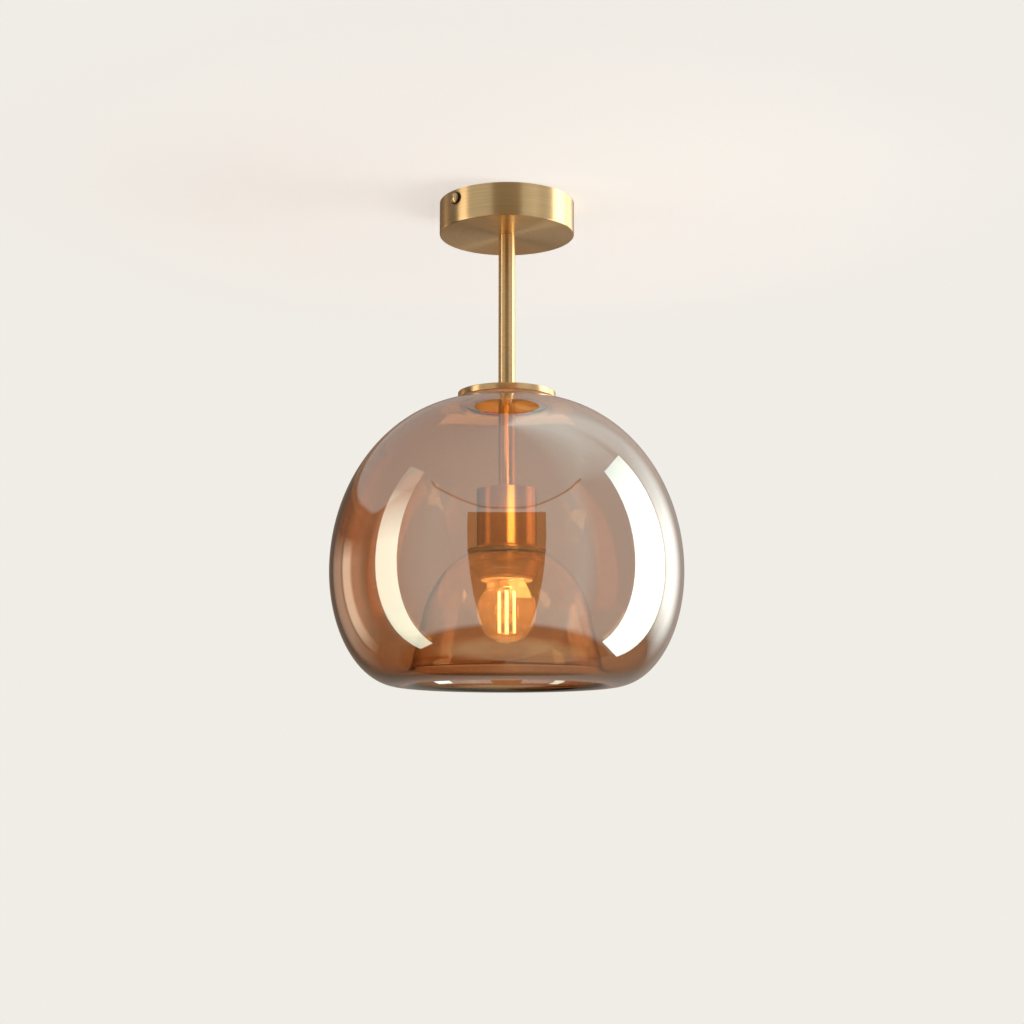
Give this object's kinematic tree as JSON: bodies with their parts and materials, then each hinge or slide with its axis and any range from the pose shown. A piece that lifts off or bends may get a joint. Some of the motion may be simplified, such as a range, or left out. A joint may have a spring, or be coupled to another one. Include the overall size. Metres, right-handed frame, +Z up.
{
  "type": "semi flush ceiling light",
  "caption": "Semi flush ceiling light: round canopy, short stem and a rounded double-walled smoked glass shade whose inner bell surrounds a screw-in globe bulb.",
  "frame": {"origin": "centre of the ceiling bracket's upper face, on the lamp's axis, in the plane of the ceiling", "axes": "+Z up along the lamp's axis, into the ceiling; X along the bracket, through both side screws; Y across it"},
  "size_m": [0.2636, 0.2636, 0.3699],
  "materials": {
    "zinc_steel": "bright zinc plate, fine drawn grain",
    "tinned_brass": "tinned, satin",
    "block_nylon": "moulded, slightly translucent natural nylon",
    "bare_brass": "bare, as machined",
    "brushed_brass": "satin brushed and lacquered",
    "holder_ceramic": "off-white glaze",
    "wire_brown": "smooth insulation",
    "wire_blue": "smooth insulation",
    "wire_green": "smooth insulation, green with a yellow stripe",
    "clear_silicone": "translucent silicone",
    "smoked_glass": "polished, tinted smoky champagne with a half-mirror sheen",
    "bulb_glass": "clear, polished",
    "bulb_cap_metal": "nickel plated, satin",
    "bulb_insulation": "black vitreous insulation",
    "filament_glow": "phosphor coated sticks, lit",
    "lead_wire": "drawn nickel wire",
    "dark_steel": "blackened"
  },
  "bodies": {
    "lamp_frame": {"ceiling_bracket": "zinc_steel", "earth_screw": "zinc_steel", "earth_lug": "tinned_brass", "terminal_block": "block_nylon", "terminal_tubes": "bare_brass", "terminal_screws": "zinc_steel", "block_screws": "zinc_steel", "canopy": "brushed_brass", "canopy_washer": "zinc_steel", "canopy_nut": "bare_brass", "upper_nipple": "zinc_steel", "stem": "brushed_brass", "lower_nipple": "zinc_steel", "lampholder_cup": "brushed_brass", "cup_washer": "zinc_steel", "cup_nut": "bare_brass", "holder_cap": "holder_ceramic", "holder_skirt": "holder_ceramic", "holder_core": "holder_ceramic", "screw_shell": "bare_brass", "centre_contact": "bare_brass", "holder_terminals": "bare_brass", "holder_screws": "zinc_steel", "line_wire": "wire_brown", "neutral_wire": "wire_blue", "earth_wire": "wire_green"},
    "shade": {"shade_cap": "brushed_brass", "cap_gasket": "clear_silicone", "glass_shade": "smoked_glass", "upper_shade_gasket": "clear_silicone", "lower_shade_gasket": "clear_silicone"},
    "ring": {"shade_ring": "brushed_brass"},
    "bulb_envelope": {"bulb_glass": "bulb_glass"},
    "bulb": {"bulb_shell": "bulb_cap_metal", "bulb_insulator": "bulb_insulation", "bulb_contact": "bulb_cap_metal", "bulb_mount": "bulb_glass", "filaments": "filament_glow", "filament_leads": "lead_wire"},
    "washer_right": {"side_washer_right": "dark_steel"},
    "screw_right": {"side_screw_right": "brushed_brass"},
    "washer_left": {"side_washer_left": "dark_steel"},
    "screw_left": {"side_screw_left": "brushed_brass"}
  },
  "joints": [
    {"name": "shade_drop", "type": "slide", "parent": "lamp_frame", "child": "shade", "axis": [0, 0, -1], "range_m": [0, 0.00825]},
    {"name": "ring_turn", "type": "hinge", "parent": "shade", "child": "ring", "pos_m": [0, 0, -0.283], "axis": [0, 0, -1], "range_deg": [0, 1189]},
    {"name": "bulb_drop", "type": "slide", "parent": "lamp_frame", "child": "bulb_envelope", "axis": [0, 0, -1], "range_m": [0, 0.01597]},
    {"name": "bulb_turn", "type": "hinge", "parent": "bulb_envelope", "child": "bulb", "pos_m": [0, 0, -0.275], "axis": [0, 0, -1], "range_deg": [0, 1586]},
    {"name": "screw_right_out", "type": "slide", "parent": "lamp_frame", "child": "washer_right", "axis": [1, 0, 0], "range_m": [0, 0.0052]},
    {"name": "screw_right_turn", "type": "hinge", "parent": "washer_right", "child": "screw_right", "pos_m": [0.0526, 0, -0.0068], "axis": [1, 0, 0], "range_deg": [0, 2675]},
    {"name": "screw_left_out", "type": "slide", "parent": "lamp_frame", "child": "washer_left", "axis": [-1, 0, 0], "range_m": [0, 0.0052]},
    {"name": "screw_left_turn", "type": "hinge", "parent": "washer_left", "child": "screw_left", "pos_m": [-0.0526, 0, -0.0068], "axis": [-1, 0, 0], "range_deg": [0, 2675]}
  ],
  "couplings": [
    {"joint": "ring_turn", "follows": "shade_drop", "rad_per_m": 2513.3},
    {"joint": "bulb_turn", "follows": "bulb_drop", "rad_per_m": 1731.6},
    {"joint": "screw_right_turn", "follows": "screw_right_out", "rad_per_m": 8976},
    {"joint": "screw_left_turn", "follows": "screw_left_out", "rad_per_m": 8976}
  ]
}
